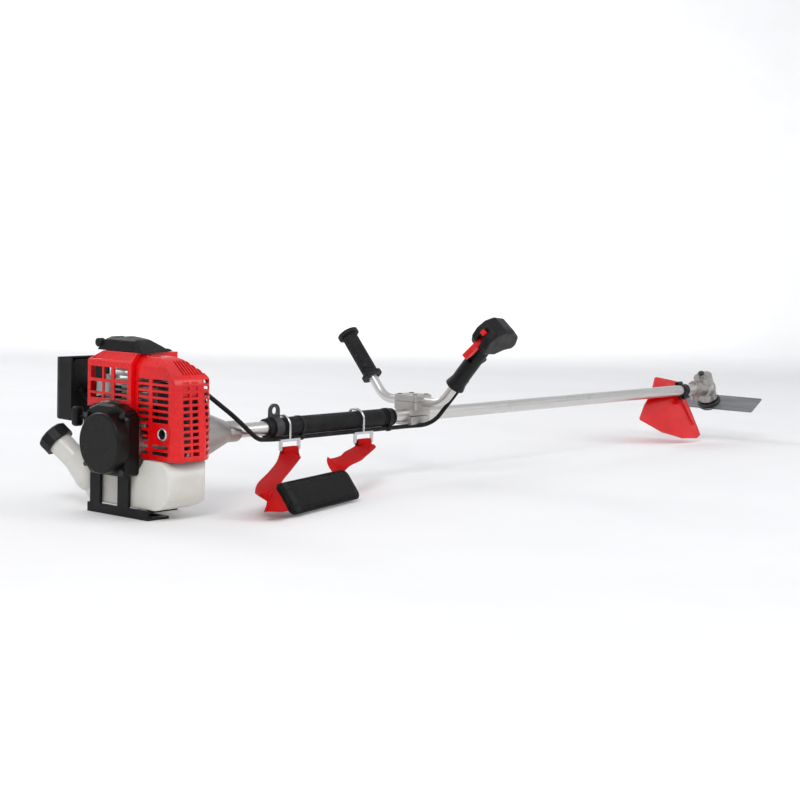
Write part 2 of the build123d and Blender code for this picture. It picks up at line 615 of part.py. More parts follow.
def hanger_bracket():
    band = ring_x(HANGER_X - 9, HANGER_X + 9, SLEEVE_R + 2.5, SLEEVE_R)
    ear = block(HANGER_X - 13, HANGER_X + 13, -2, 2, AXIS_Z + SLEEVE_R + 1, AXIS_Z + SLEEVE_R + 12)
    ear += rod_y(-2, 2, 13, HANGER_X, AXIS_Z + SLEEVE_R + 12)
    ear -= rod_y(-5, 5, 6.5, HANGER_X, AXIS_Z + SLEEVE_R + 13)
    return (band + ear) - rod_x(HANGER_X - 20, HANGER_X + 20, SLEEVE_R)


CABLE_R = 4.0
CABLE_Y = -8.0
CABLE_Z = AXIS_Z - 19.5


def clamps():
    rings = []
    for x, width, inside in ((566, 8, SLEEVE_R), (330, 6, SLEEVE_R)):
        band = ring_x(x, x + width, inside + 1.2, inside)
        eye = rod_x(x, x + width, CABLE_R + 1.6, CABLE_Y, CABLE_Z) - rod_x(x - 1, x + width + 1, inside)
        rings.append(band + eye - rod_x(x - 1, x + width + 1, CABLE_R, CABLE_Y, CABLE_Z))
    guard_band = ring_x(GUARD_X - 11, GUARD_X + 11, TUBE_R + 2.2, TUBE_R)
    lugs = block(GUARD_X - 11, GUARD_X + 11, -21, -13, AXIS_Z - 4, AXIS_Z + 4)
    lugs += block(GUARD_X - 11, GUARD_X + 11, 13, 21, AXIS_Z - 4, AXIS_Z + 4)
    guard_band = guard_band + lugs
    guard_band -= block(GUARD_X - 12, GUARD_X + 12, -30, 30, AXIS_Z - 0.6, AXIS_Z + 0.6)
    guard_band = Pos(0, 0, AXIS_Z) * Rot(GUARD_ROLL, 0, 0) * Pos(0, 0, -AXIS_Z) * guard_band
    return Compound(children=rings + list(guard_band.solids()))


def drive_shaft():
    shaft = rod_x(84.5, 1738, DRIVE_R)
    return Compound(children=[shaft, bevel_gear(PINION_TEETH, PINION_ANGLE, pinion_plane(), DRIVE_R, 0.0)])


# ---- bevel gears: both cones share their apex, where the two axes cross ----
SHAFT_ANGLE = 60.0
CONE_LENGTH = 24.0
TOOTH_START = 18.0
TOOTH_RATIO = GEAR_TEETH / PINION_TEETH
PINION_ANGLE = degrees(atan2(sin(radians(SHAFT_ANGLE)), TOOTH_RATIO + cos(radians(SHAFT_ANGLE))))
GEAR_ANGLE = SHAFT_ANGLE - PINION_ANGLE
TILT = radians(BLADE_TILT)
OUTPUT_AXIS = (sin(TILT), 0.0, -cos(TILT))
BLADE_FORWARD = (cos(TILT), 0.0, sin(TILT))


def output_plane():
    return Plane(origin=(GEAR_X, 0, AXIS_Z), x_dir=BLADE_FORWARD, z_dir=OUTPUT_AXIS)


def pinion_plane():
    return Plane(origin=(GEAR_X, 0, AXIS_Z), x_dir=(0, 0, 1), z_dir=(-1, 0, 0))


def gear_plane():
    up = tuple(-c for c in OUTPUT_AXIS)
    return Plane(origin=(GEAR_X, 0, AXIS_Z), x_dir=tuple(-c for c in BLADE_FORWARD), z_dir=up)


def bevel_gear(teeth, angle, plane, bore, phase):
    """Root cone and straight teeth; Z of the plane is the gear's axis, measured from the apex."""
    half = radians(angle)
    low, high = TOOTH_START * cos(half), CONE_LENGTH * cos(half)
    drop = 2.2 / cos(half)
    r_low, r_high = TOOTH_START * sin(half) - drop, CONE_LENGTH * sin(half) - drop
    body = Pos(0, 0, (low + high) / 2) * Cone(r_low, r_high, high - low)
    for index in range(teeth):
        tooth = Pos(-0.8, 0, (TOOTH_START + CONE_LENGTH) / 2) * Box(4.0, 1.5, CONE_LENGTH - TOOTH_START - 0.6)
        body += Rot(0, 0, phase + index * 360 / teeth) * Rot(0, angle, 0) * tooth
    body -= Cylinder(bore, 200)
    return plane * body


def output_shaft():
    plane = output_plane()
    gear = bevel_gear(GEAR_TEETH, GEAR_ANGLE, gear_plane(), 5.0, 180 / GEAR_TEETH)
    shaft = plane * Pos(0, 0, (56 - 27) / 2) * Cylinder(5, 83)
    return Compound(children=[gear, shaft])


def gearbox_housing():
    plane = output_plane()
    centre = Pos(GEAR_X, 0, AXIS_Z)
    outer = rod_x(1690, GEAR_X, 18) + centre * Sphere(24)
    outer += plane * Pos(0, 0, -3) * Cylinder(21.5, 62)
    outer += rod_x(1694, 1704, 20)
    outer += block(1694, 1706, -8, 8, AXIS_Z - 27, AXIS_Z - 14)
    plug_seat = Plane(origin=(GEAR_X - 4, 0, AXIS_Z), z_dir=(-0.5, 0, 0.866)) * Pos(0, 0, 33) * Cylinder(9, 12)
    outer += plug_seat
    inner = rod_x(1689, TUBE_END, TUBE_R) + rod_x(TUBE_END - 1, GEAR_X, 9.5) + centre * Sphere(17)
    inner += rod_x(1722.5, GEAR_X, 13.5)
    inner += plane * Pos(0, 0, -9.5) * Cylinder(17.5, 37)
    inner += plane * Pos(0, 0, 14.5) * Cylinder(12, 11)
    inner += plane * Pos(0, 0, 20) * Cylinder(6.5, 40)
    inner += block(1689, 1707, -1, 1, AXIS_Z - 30, AXIS_Z - 11)
    return outer - inner


def blade_fixings():
    plane = output_plane()
    holder = Pos(0, 0, 34.5) * Cylinder(27, 5)
    holder = fillet(holder.edges().sort_by(Axis.Z)[0], 2) - Cylinder(5.02, 200)
    nut = Pos(0, 0, 52) * extrude(RegularPolygon(9, 6), 3, both=True)
    nut -= Cylinder(5.02, 200)
    return Compound(children=[plane * holder, plane * nut])


def blade():
    plane = output_plane()
    plate = Pos(0, 0, 37.85) * Box(BLADE_CHORD, 2 * BLADE_R, 1.6)
    plate = chamfer(plate.edges().filter_by(Axis.Z), 3)
    plate -= Cylinder(10, 200)
    return plane * plate


def blade_cup():
    plane = output_plane()
    cup = Pos(0, 0, 43.8) * Cone(31, 22, 10)
    cup -= Pos(0, 0, 46) * Cylinder(17, 7)
    cup -= Cylinder(5.02, 200)
    return plane * cup


# ---- handlebar ----
ARM_ANGLE = 40.0
ARM_BEND_Y = 70.0
BAR_LENGTH = 150.0
CONTROL_START = 46.0


def arm_point(side, distance):
    """A point on the arm's axis; side is 1 for the left, -1 for the right."""
    angle = radians(ARM_ANGLE)
    return (HANDLE_X, side * (ARM_BEND_Y + distance * sin(angle)), BAR_Z + distance * cos(angle))


def handlebar_arm(side, length):
    points = [(HANDLE_X, side * 1.5, BAR_Z), (HANDLE_X, side * ARM_BEND_Y, BAR_Z), arm_point(side, length)]
    return pipe(points, BAR_R, [42])


def handlebars():
    return Compound(children=[handlebar_arm(1, BAR_LENGTH), handlebar_arm(-1, 108)])


def handle_bracket():
    low = soft_block(HANDLE_X - 27, HANDLE_X + 27, -20, 20, AXIS_Z - 17, AXIS_Z + 15, 4, Axis.X)
    low += soft_block(HANDLE_X - 25, HANDLE_X + 25, -27, 27, AXIS_Z + 12, BAR_Z - 0.3, 5, Axis.Z)
    low -= rod_x(HANDLE_X - 30, HANDLE_X + 30, TUBE_R)
    low -= rod_y(-40, 40, BAR_R, HANDLE_X, BAR_Z)
    low -= block(HANDLE_X - 30, HANDLE_X + 30, -30, 30, AXIS_Z - 0.8, AXIS_Z + 0.8)
    return low


def bracket_cap():
    cap = soft_block(HANDLE_X - 25, HANDLE_X + 25, -27, 27, BAR_Z + 0.3, BAR_Z + 13, 5, Axis.Z)
    cap = fillet(cap.faces().sort_by(Axis.Z)[-1].edges(), 2.5)
    cap -= rod_y(-40, 40, BAR_R, HANDLE_X, BAR_Z)
    for x in (HANDLE_X - 17, HANDLE_X + 17):
        for y in (-18, 18):
            cap -= rod_z(BAR_Z, BAR_Z + 9.5, 2.6, x, y)
            cap -= rod_z(BAR_Z + 9, BAR_Z + 20, 4.6, x, y)
    return cap


def arm_plane(side, distance):
    angle = radians(ARM_ANGLE)
    return Plane(origin=arm_point(side, distance), x_dir=(1, 0, 0),
                 z_dir=(0, side * sin(angle), cos(angle)))


def left_grip():
    plane = arm_plane(1, 50)
    grip = Pos(0, 0, 51) * Cylinder(15, 102)
    grip += Pos(0, 0, 3) * Cylinder(20, 6) + Pos(0, 0, 101) * Cylinder(21, 7)
    for index in range(14):
        grip -= Pos(0, 0, 14 + index * 5.6) * (Cylinder(17, 1.8) - Cylinder(14, 3))
    grip -= Pos(0, 0, 0) * Cylinder(BAR_R, 200.2)
    return plane * grip


HEAD_OUTLINE = [(-20, 98), (-30, 112), (-32, 132), (-22, 150), (-2, 158), (26, 155), (52, 140),
                (61, 122), (56, 110), (34, 106), (14, 96)]
SHELL_HALF = 21.0


def control_body():
    """Both halves of the control handle's shell, in the right arm's own frame."""
    grip = Pos(0, 0, 50) * Cylinder(15.5, 100)
    grip += Pos(0, 0, 8) * Cone(19, 15.5, 16)
    face = make_face(Polyline([Vector(x, -SHELL_HALF, z) for x, z in HEAD_OUTLINE], close=True))
    head = extrude(face, 2 * SHELL_HALF, dir=(0, 1, 0))
    head = fillet(head.edges().filter_by(Axis.Y), 8)
    sides = head.faces().sort_by(Axis.Y)
    head = fillet(list(sides[0].edges()) + list(sides[-1].edges()), 7)
    stop = make_face(Polyline([Vector(x, -8, z) for x, z in ((10, 54), (25, 70), (24, 75), (10, 78))], close=True))
    body = grip + head + extrude(stop, 16, dir=(0, 1, 0))
    body += Pos(20, 0, 8) * Cylinder(7, 16)
    body -= Pos(0, 0, 26) * Cylinder(BAR_R, 72.6)
    body -= Pos(21, 0, 4) * Cylinder(CABLE_R, 24)
    pocket = Pos(22, 0, 103) * Box(48, 11.4, 50)
    lever_pocket = Pos(-25, 0, 95) * Box(36, 11.4, 62)
    switch_pocket = Pos(-31, 0, 138) * Box(12, 9.4, 20)
    return body - pocket - lever_pocket - switch_pocket


def control_shell(side):
    body = control_body()
    half = Pos(0, side * 40, 80) * Box(200, 80, 300)
    return arm_plane(-1, CONTROL_START) * (body & half)


def local_plate(points, half_width):
    face = make_face(Polyline([Vector(x, -half_width, z) for x, z in points], close=True))
    return extrude(face, 2 * half_width, dir=(0, 1, 0))


TRIGGER_PIVOT = (10.0, 114.0)
LOCKOUT_PIVOT = (-14.0, 114.0)


def throttle_trigger():
    shape = local_plate([(4, 108), (4, 119), (14, 119), (30, 108), (37, 88), (31, 86), (22, 96), (12, 104)], 5.4)
    hole = Pos(TRIGGER_PIVOT[0], 0, TRIGGER_PIVOT[1]) * Rot(90, 0, 0) * Cylinder(2.03, 30)
    return arm_plane(-1, CONTROL_START) * (shape - hole)


def lockout_lever():
    shape = local_plate([(-18, 109), (-10, 109), (-10, 119), (-18, 119), (-29, 108), (-39, 76), (-34, 74), (-25, 84)],
                        5.4)
    hole = Pos(LOCKOUT_PIVOT[0], 0, LOCKOUT_PIVOT[1]) * Rot(90, 0, 0) * Cylinder(2.03, 30)
    return arm_plane(-1, CONTROL_START) * (shape - hole)


def stop_switch():
    knob = Pos(-32.5, 0, 136) * Box(7, 9, 9)
    return arm_plane(-1, CONTROL_START) * fillet(knob.edges().filter_by(Axis.Y), 1.5)


def handle_pins():
    plane = arm_plane(-1, CONTROL_START)
    pin = Rot(90, 0, 0) * Cylinder(1.98, 11.4)
    return [plane * Pos(x, 0, z) * pin for x, z in (TRIGGER_PIVOT, LOCKOUT_PIVOT)]


CABLE_ROUTE = [(14, 84, CARB_Z + 40), (62, 66, CARB_Z + 34), (104, 8, CARB_Z + 2), (150, -26, AXIS_Z + 28),
               (205, -28, AXIS_Z - 14), (262, CABLE_Y, CABLE_Z), (628, CABLE_Y, CABLE_Z),
               (668, -34, CABLE_Z + 3)]
CABLE_BENDS = [45, 60, 60, 45, 60, 40, 40, 40]


def throttle_cable():
    base = arm_plane(-1, CONTROL_START)
    end = base.from_local_coords(Vector(21, 0, 12))
    below = base.from_local_coords(Vector(21, 0, -34))
    return pipe(CABLE_ROUTE + [tuple(below), tuple(end)], CABLE_R - 0.02, CABLE_BENDS)


# ---- guard ----
def guard_plane():
    angle = radians(GUARD_ROLL)
    return Plane(origin=(GUARD_X, 0, AXIS_Z), x_dir=(-1, 0, 0), z_dir=(0, -sin(angle), cos(angle)))


GUARD_OUTLINE = [(-24, -30), (52, -48), (91, -12), (130, 13), (166, 44), (116, 86), (58, 110),
                 (4, 116), (-14, 110), (-18, 88), (-24, 40), (-26, 14)]


def guard():
    """A bowed sheet, trimmed to its outline, with a boss under the clamp and one rib."""
    with BuildLine() as edge:
        ThreePointArc((-60, 0, -15.5), (60, 0, -20), (210, 0, -50))
        Line((210, 0, -50), (209, 0, -53.2))
        ThreePointArc((209, 0, -53.2), (60, 0, -23.2), (-60, 0, -18.7))
        Line((-60, 0, -18.7), (-60, 0, -15.5))
    slab = extrude(make_face(edge.line), 260, dir=(0, 1, 0), both=True)
    cutter = outline_z(GUARD_OUTLINE, -120, 40)
    panel = slab & fillet(cutter.edges().filter_by(Axis.Z), 5)
    boss = Pos(0, 0, -15.5) * Box(24, 42, 5) - Rot(0, 90, 0) * Cylinder(TUBE_R + 2.3, 60)
    rib = Pos(0, 50, -15) * Box(3, 66, 8)
    return guard_plane() * (panel + boss + rib)


# ---- harness ----
def hook(x):
    """A bent wire over the tube that ends in a flat loop for the strap."""
    c = AXIS_Z
    wire = pipe([(x, 19.5, c + 8), (x, 10, c + 20), (x, -20, c + 20), (x, -20, c - 21)], 2.4, [8, 18])
    loop = block(x - 25, x + 25, -22.2, -17.8, c - 39, c - 19)
    return wire + (loop - block(x - 20, x + 20, -25, -15, c - 34.5, c - 23.5))


def harness_hooks():
    return Compound(children=[hook(x) for x in HOOK_STATIONS])


PAD_CENTRE = (221.0, -156.0, 28.6)
PAD_TURN = 13.5
PAD_TILT = 55.0
PAD_SIZE = (240.0, 58.0, 13.0)


def pad_plane():
    turn, tilt = radians(PAD_TURN), radians(PAD_TILT)
    along = (cos(turn), sin(turn), 0)
    up = Vector(-sin(turn) * cos(tilt), cos(turn) * cos(tilt), sin(tilt))
    return Plane(origin=PAD_CENTRE, x_dir=along, z_dir=Vector(*along).cross(up))


def shoulder_pad():
    pad = Box(*PAD_SIZE)
    pad = fillet(pad.edges().filter_by(Axis.Z), 14)
    return pad_plane() * fillet(pad.faces().sort_by(Axis.Z)[0].edges() + pad.faces().sort_by(Axis.Z)[-1].edges(), 4)


STRAP_WIDTH = 38.0
STRAP_THICKNESS = 2.2


def strap(stations):
    """A flat band through (centre, width direction, path direction) stations."""
    sections = [Plane(origin=c, x_dir=w, z_dir=d) * Rectangle(STRAP_WIDTH, STRAP_THICKNESS)
                for c, w, d in stations]
    return loft(sections, ruled=True)


def harness_straps():
    pad = pad_plane()
    along, up, out = pad.x_dir, pad.y_dir, pad.z_dir
    start = pad.from_local_coords(Vector(-PAD_SIZE[0] / 2 - 0.5, 0, 0))
    turn = start - along * 40 - out * 14
    right_end = pad.from_local_coords(Vector(PAD_SIZE[0] / 2 - 26, PAD_SIZE[1] / 2 + 0.5, 0))
    left_hook, right_hook = [(x, -24, AXIS_Z - 42) for x in HOOK_STATIONS]
    down = (turn - Vector(*left_hook)).normalized()
    left = strap([(left_hook, (1, 0, 0), tuple(down - Vector(down.X, 0, 0))), (tuple(turn), tuple(up), tuple(down))])
    fold = strap([(tuple(turn), tuple(up), tuple(along + out * 0.35)), (tuple(start), tuple(up), tuple(along))])
    sag = (424, -70, 31)
    right = strap([(right_hook, (1, 0, 0), (0, -0.6, -0.8)), (sag, (1, 0.1, 0), (0, -1, 0.05)),
                   (tuple(right_end), tuple(along), tuple(up * -1))])
    return Compound(children=[left, fold, right])


# ---- fasteners ----
def screw_x(x0, x1, y, z, head_r=4.2, r=2.3):
    return rod_x(x0, x1, r, y, z) + rod_x(x0 - 3.5, x0, head_r, y, z)


def screws():
    group = [screw_x(DRUM_FRONT - 1.2, CASE_REAR - 6, y, z) for y, z in STARTER_SCREWS]
    for x in (HANDLE_X - 17, HANDLE_X + 17):
        for y in (-18, 18):
            group.append(rod_z(BAR_Z + 0.4, BAR_Z + 9, 2.5, x, y) + rod_z(BAR_Z + 9, BAR_Z + 14, 4.5, x, y))
    group.append(rod_z(AXIS_Z - 7.2, AXIS_Z + 7.2, 2.5, 164, 23) + rod_z(AXIS_Z + 7.1, AXIS_Z + 12, 4.5, 164, 23))
    plug = Plane(origin=(GEAR_X - 4, 0, AXIS_Z), z_dir=(-0.5, 0, 0.866))
    group.append(plug * Pos(0, 0, 42.2) * extrude(RegularPolygon(7, 6), 3, both=True))
    return Compound(children=group + handle_pins())


NODES = {
    "starter_housing": starter_housing,
    "starter_reel": starter_reel,
    "starter_handle": starter_handle,
    "crankcase_rear": crankcase_rear,
    "crankcase_front": crankcase_front,
    "ball_bearings": ball_bearings,
    "crankshaft": crankshaft,
    "connecting_rod": connecting_rod,
    "piston": piston,
    "cylinder": cylinder,
    "spark_plug": spark_plug,
    "plug_boot": plug_boot,
    "flywheel": flywheel,
    "ignition_coil": ignition_coil,
    "clutch_shoes": clutch_shoes,
    "clutch_drum": clutch_drum,
    "clutch_housing": clutch_housing,
    "muffler": muffler,
    "muffler_cover": muffler_cover,
    "cylinder_cover": cylinder_cover,
    "top_cover": top_cover,
    "intake_manifold": intake_manifold,
    "carburettor": carburettor,
    "throttle_lever": throttle_lever,
    "choke_lever": choke_lever,
    "primer_bulb": primer_bulb,
    "filter_base": filter_base,
    "filter_foam": filter_foam,
    "filter_cover": filter_cover,
    "filter_knob": filter_knob,
    "fuel_tank": fuel_tank,
    "fuel_cap": fuel_cap,
    "fuel_lines": fuel_lines,
    "tank_stand": tank_stand,
    "shaft_tube": shaft_tube,
    "shaft_bushings": shaft_bushings,
    "drive_shaft": drive_shaft,
    "grip_sleeve": grip_sleeve,
    "hanger_bracket": hanger_bracket,
    "clamps": clamps,
    "handle_bracket": handle_bracket,
    "bracket_cap": bracket_cap,
    "handlebars": handlebars,
    "left_grip": left_grip,
    "control_shell_inner": lambda: control_shell(1),
    "control_shell_outer": lambda: control_shell(-1),
    "throttle_trigger": throttle_trigger,
    "lockout_lever": lockout_lever,
    "stop_switch": stop_switch,
    "throttle_cable": throttle_cable,
    "guard": guard,
    "gearbox_housing": gearbox_housing,
    "output_shaft": output_shaft,
    "blade_fixings": blade_fixings,
    "blade": blade,
    "blade_cup": blade_cup,
    "harness_hooks": harness_hooks,
    "harness_straps": harness_straps,
    "shoulder_pad": shoulder_pad,
    "screws": screws,
}


def main():
    os.makedirs("parts", exist_ok=True)
    for name, make in NODES.items():
        export_step(make(), "parts/" + name + ".step")


main()
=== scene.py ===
"""Brush cutter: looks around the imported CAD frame. Metres, +X along the shaft, +Z up."""
import bmesh
import bpy
import json
from math import cos, pi, radians, sin
from mathutils import Matrix, Vector


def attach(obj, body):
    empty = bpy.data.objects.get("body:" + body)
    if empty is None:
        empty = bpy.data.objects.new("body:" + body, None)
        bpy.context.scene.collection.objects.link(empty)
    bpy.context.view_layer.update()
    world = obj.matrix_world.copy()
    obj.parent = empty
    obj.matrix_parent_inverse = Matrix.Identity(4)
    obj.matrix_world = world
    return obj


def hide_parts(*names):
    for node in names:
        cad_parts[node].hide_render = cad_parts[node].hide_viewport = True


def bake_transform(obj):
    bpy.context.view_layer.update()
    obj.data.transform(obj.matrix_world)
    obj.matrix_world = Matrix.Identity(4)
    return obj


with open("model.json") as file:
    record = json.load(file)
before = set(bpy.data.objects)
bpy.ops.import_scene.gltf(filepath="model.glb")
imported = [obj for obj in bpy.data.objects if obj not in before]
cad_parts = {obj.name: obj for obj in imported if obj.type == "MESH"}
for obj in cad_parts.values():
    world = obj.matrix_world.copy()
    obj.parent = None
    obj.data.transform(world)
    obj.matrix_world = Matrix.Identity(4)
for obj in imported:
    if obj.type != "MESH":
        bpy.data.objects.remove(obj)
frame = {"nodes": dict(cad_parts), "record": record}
NODES = frame["nodes"]
SLOT_OF = {s["node"]: s["material_slot"] for s in frame["record"]["subparts"]}
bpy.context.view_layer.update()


# ---- camera ----
def camera(position, yaw, pitch, roll, lens):
    """A camera that looks along yaw (from +X towards +Y) and down by pitch, rolled about its axis."""
    ahead = Vector((cos(yaw) * cos(pitch), sin(yaw) * cos(pitch), -sin(pitch)))
    right = Vector((sin(yaw), -cos(yaw), 0))
    above = right.cross(ahead)
    x_axis = right * cos(roll) + above * sin(roll)
    y_axis = above * cos(roll) - right * sin(roll)
    data = bpy.data.cameras.new("camera")
    data.lens, data.sensor_width = lens, 36.0
    data.clip_end = 40
    eye = bpy.data.objects.new("camera", data)
    bpy.context.scene.collection.objects.link(eye)
    turn = Matrix((x_axis, y_axis, -ahead)).transposed().to_4x4()
    eye.matrix_world = Matrix.Translation(position) @ turn
    bpy.context.scene.camera = eye


camera((-1.892, -2.079, 0.441), 0.6930, 0.08973, 0.02757, 78.35)


# ---- materials ----
def material(name, colour, roughness, metallic=0.0, **sockets):
    """A material with its nodes, its Principled shader and a texture coordinate in object space."""
    made = bpy.data.materials.new(name)
    made.use_nodes = True
    tree = made.node_tree
    shader = tree.nodes["Principled BSDF"]
    shader.inputs["Base Color"].default_value = (*colour, 1)
    shader.inputs["Roughness"].default_value = roughness
    shader.inputs["Metallic"].default_value = metallic
    for socket, value in sockets.items():
        shader.inputs[socket.replace("_", " ")].default_value = value
    place = tree.nodes.new("ShaderNodeTexCoord")
    return made, tree, shader, place


def noise(tree, place, scale, detail, stretch=(1, 1, 1), rough=0.55):
    """Noise over object space; a small stretch factor draws it out along that axis."""
    mapping = tree.nodes.new("ShaderNodeMapping")
    mapping.inputs["Scale"].default_value = stretch
    tree.links.new(place.outputs["Object"], mapping.inputs["Vector"])
    node = tree.nodes.new("ShaderNodeTexNoise")
    node.inputs["Scale"].default_value = scale
    node.inputs["Detail"].default_value = detail
    node.inputs["Roughness"].default_value = rough
    tree.links.new(mapping.outputs["Vector"], node.inputs["Vector"])
    return node.outputs["Fac"]


def ramp(tree, value, stops):
    """A colour ramp of (position, RGB colour) stops."""
    node = tree.nodes.new("ShaderNodeValToRGB")
    elements = node.color_ramp.elements
    while len(elements) < len(stops):
        elements.new(0.5)
    for element, (position, colour) in zip(elements, stops):
        element.position = position
        element.color = (*colour, 1)
    tree.links.new(value, node.inputs["Fac"])
    return node.outputs["Color"]


def vary_roughness(tree, shader, value, low, high):
    """Roughness between low and high, following a noise value."""
    node = tree.nodes.new("ShaderNodeMapRange")
    node.inputs["From Min"].default_value = 0.3
    node.inputs["From Max"].default_value = 0.7
    node.inputs["To Min"].default_value = low
    node.inputs["To Max"].default_value = high
    tree.links.new(value, node.inputs["Value"])
    tree.links.new(node.outputs["Result"], shader.inputs["Roughness"])


def soft_edges(tree, radius):
    """Normals that round every edge by a moulded radius."""
    node = tree.nodes.new("ShaderNodeBevel")
    node.samples = 6
    node.inputs["Radius"].default_value = radius
    return node.outputs["Normal"]


def bump(tree, shader, value, distance, strength=1.0, previous=None):
    """Relief of a height value in metres, on top of a previous normal where there is one."""
    node = tree.nodes.new("ShaderNodeBump")
    node.inputs["Distance"].default_value = distance
    node.inputs["Strength"].default_value = strength
    tree.links.new(value, node.inputs["Height"])
    if previous:
        tree.links.new(previous, node.inputs["Normal"])
    tree.links.new(node.outputs["Normal"], shader.inputs["Normal"])
    return node.outputs["Normal"]


def shades(colour, *factors):
    """The colour times each factor."""
    return [tuple(min(1.0, c * f) for c in colour) for f in factors]


def plastic(name, colour, low, high, grain, depth, spread, **sockets):
    """Moulded plastic: broad shifts of shade, fine grain of the given depth, rounded edges."""
    made, tree, shader, place = material(name, colour, low, **sockets)
    broad = noise(tree, place, 14, 5)
    dark, light = shades(colour, *spread)
    tree.links.new(ramp(tree, broad, [(0.35, dark), (0.65, light)]), shader.inputs["Base Color"])
    vary_roughness(tree, shader, noise(tree, place, 60, 6), low, high)
    bump(tree, shader, noise(tree, place, grain, 3), depth, 1.0, soft_edges(tree, 0.0012))
    return made


def metal(name, colour, low, high, scale, stretch, depth, spread=(0.82, 1.12)):
    """Bare metal with cast or drawn relief; stretch sets the direction of the drawing lines."""
    made, tree, shader, place = material(name, colour, low, 1.0)
    lines = noise(tree, place, scale, 6, stretch, 0.65)
    dark, light = shades(colour, *spread)
    tree.links.new(ramp(tree, lines, [(0.3, dark), (0.7, light)]), shader.inputs["Base Color"])
    vary_roughness(tree, shader, noise(tree, place, 35, 6), low, high)
    bump(tree, shader, lines, depth, 1.0, soft_edges(tree, 0.0006))
    return made


def coated_steel(name):
    """Black coating over steel, rubbed through in small patches."""
    made, tree, shader, place = material(name, (0.03, 0.03, 0.032), 0.42)
    worn = noise(tree, place, 90, 8, rough=0.7)
    tree.links.new(ramp(tree, worn, [(0.6, (0.022, 0.022, 0.024)), (0.74, (0.16, 0.15, 0.14))]),
                   shader.inputs["Base Color"])
    tree.links.new(ramp(tree, worn, [(0.66, (0, 0, 0)), (0.76, (0.9, 0.9, 0.9))]),
                   shader.inputs["Metallic"])
    vary_roughness(tree, shader, noise(tree, place, 50, 5), 0.32, 0.55)
    bump(tree, shader, noise(tree, place, 900, 3), 0.00015)
    return made


def tank_plastic(name):
    """Blow-moulded translucent plastic, a little yellow where it is thick."""
    made, tree, shader, place = material(name, (0.86, 0.83, 0.74), 0.34, IOR=1.5,
                                         Subsurface_Weight=0.45, Subsurface_Scale=0.5,
                                         Subsurface_Radius=(0.02, 0.018, 0.012))
    cloud = noise(tree, place, 9, 4)
    tree.links.new(ramp(tree, cloud, [(0.3, (0.66, 0.63, 0.55)), (0.65, (0.80, 0.78, 0.71))]),
                   shader.inputs["Base Color"])
    vary_roughness(tree, shader, noise(tree, place, 40, 5), 0.26, 0.42)
    bump(tree, shader, noise(tree, place, 160, 4), 0.0004, 0.5, soft_edges(tree, 0.004))
    return made


def foam(name):
    """Open-celled filter foam."""
    made, tree, shader, place = material(name, (0.10, 0.10, 0.11), 0.95)
    cells = tree.nodes.new("ShaderNodeTexVoronoi")
    cells.inputs["Scale"].default_value = 700
    tree.links.new(place.outputs["Object"], cells.inputs["Vector"])
    stops = [(0.1, (0.02, 0.02, 0.02)), (0.7, (0.15, 0.15, 0.16))]
    tree.links.new(ramp(tree, cells.outputs["Distance"], stops), shader.inputs["Base Color"])
    bump(tree, shader, cells.outputs["Distance"], 0.0008)
    return made


def rubber(name, colour):
    """Smooth moulded rubber with worn, lighter patches."""
    made, tree, shader, place = material(name, colour, 0.6, Specular_IOR_Level=0.22)
    dark, light = shades(colour, 0.8, 1.9)
    tree.links.new(ramp(tree, noise(tree, place, 45, 6), [(0.35, dark), (0.75, light)]),
                   shader.inputs["Base Color"])
    vary_roughness(tree, shader, noise(tree, place, 90, 5), 0.45, 0.72)
    bump(tree, shader, noise(tree, place, 1100, 3), 0.0002)
    return made


def clear_silicone(name):
    """Soft translucent silicone of the primer bulb and the fuel line."""
    made, tree, shader, place = material(name, (0.75, 0.74, 0.68), 0.25, IOR=1.42,
                                         Transmission_Weight=0.6)
    vary_roughness(tree, shader, noise(tree, place, 60, 4), 0.18, 0.34)
    bump(tree, shader, noise(tree, place, 300, 3), 0.0001)
    return made


def blade_steel(name):
    """Ground sheet steel with fine grinding lines."""
    made, tree, shader, place = material(name, (0.33, 0.33, 0.34), 0.3, 1.0)
    lines = noise(tree, place, 240, 5, (1, 0.03, 1), 0.7)
    tree.links.new(ramp(tree, lines, [(0.3, (0.20, 0.20, 0.21)), (0.7, (0.42, 0.42, 0.43))]),
                   shader.inputs["Base Color"])
    vary_roughness(tree, shader, noise(tree, place, 18, 5), 0.26, 0.42)
    bump(tree, shader, lines, 0.00005)
    return made


def waves(tree, vector, scale, direction):
    """Sine bands across one direction of a vector."""
    node = tree.nodes.new("ShaderNodeTexWave")
    node.bands_direction = direction
    node.inputs["Scale"].default_value = scale
    tree.links.new(vector, node.inputs["Vector"])
    return node.outputs["Fac"]


def multiply(tree, first, second):
    """The product of two values."""
    node = tree.nodes.new("ShaderNodeMath")
    node.operation = "MULTIPLY"
    tree.links.new(first, node.inputs[0])
    tree.links.new(second, node.inputs[1])
    return node.outputs["Value"]


def webbing(name, low, high):
    """Woven polyester webbing; its UV runs in metres, U across and V along the strap."""
    made, tree, shader, place = material(name, high, 0.62, Specular_IOR_Level=0.12)
    ribs = waves(tree, place.outputs["UV"], 160, "X")
    picks = waves(tree, place.outputs["UV"], 210, "Y")
    weave = multiply(tree, ribs, picks)
    tree.links.new(ramp(tree, weave, [(0.05, low), (0.6, high)]), shader.inputs["Base Color"])
    first = bump(tree, shader, weave, 0.0007)
    bump(tree, shader, noise(tree, place, 400, 3), 0.0002, 0.5, first)
    return made


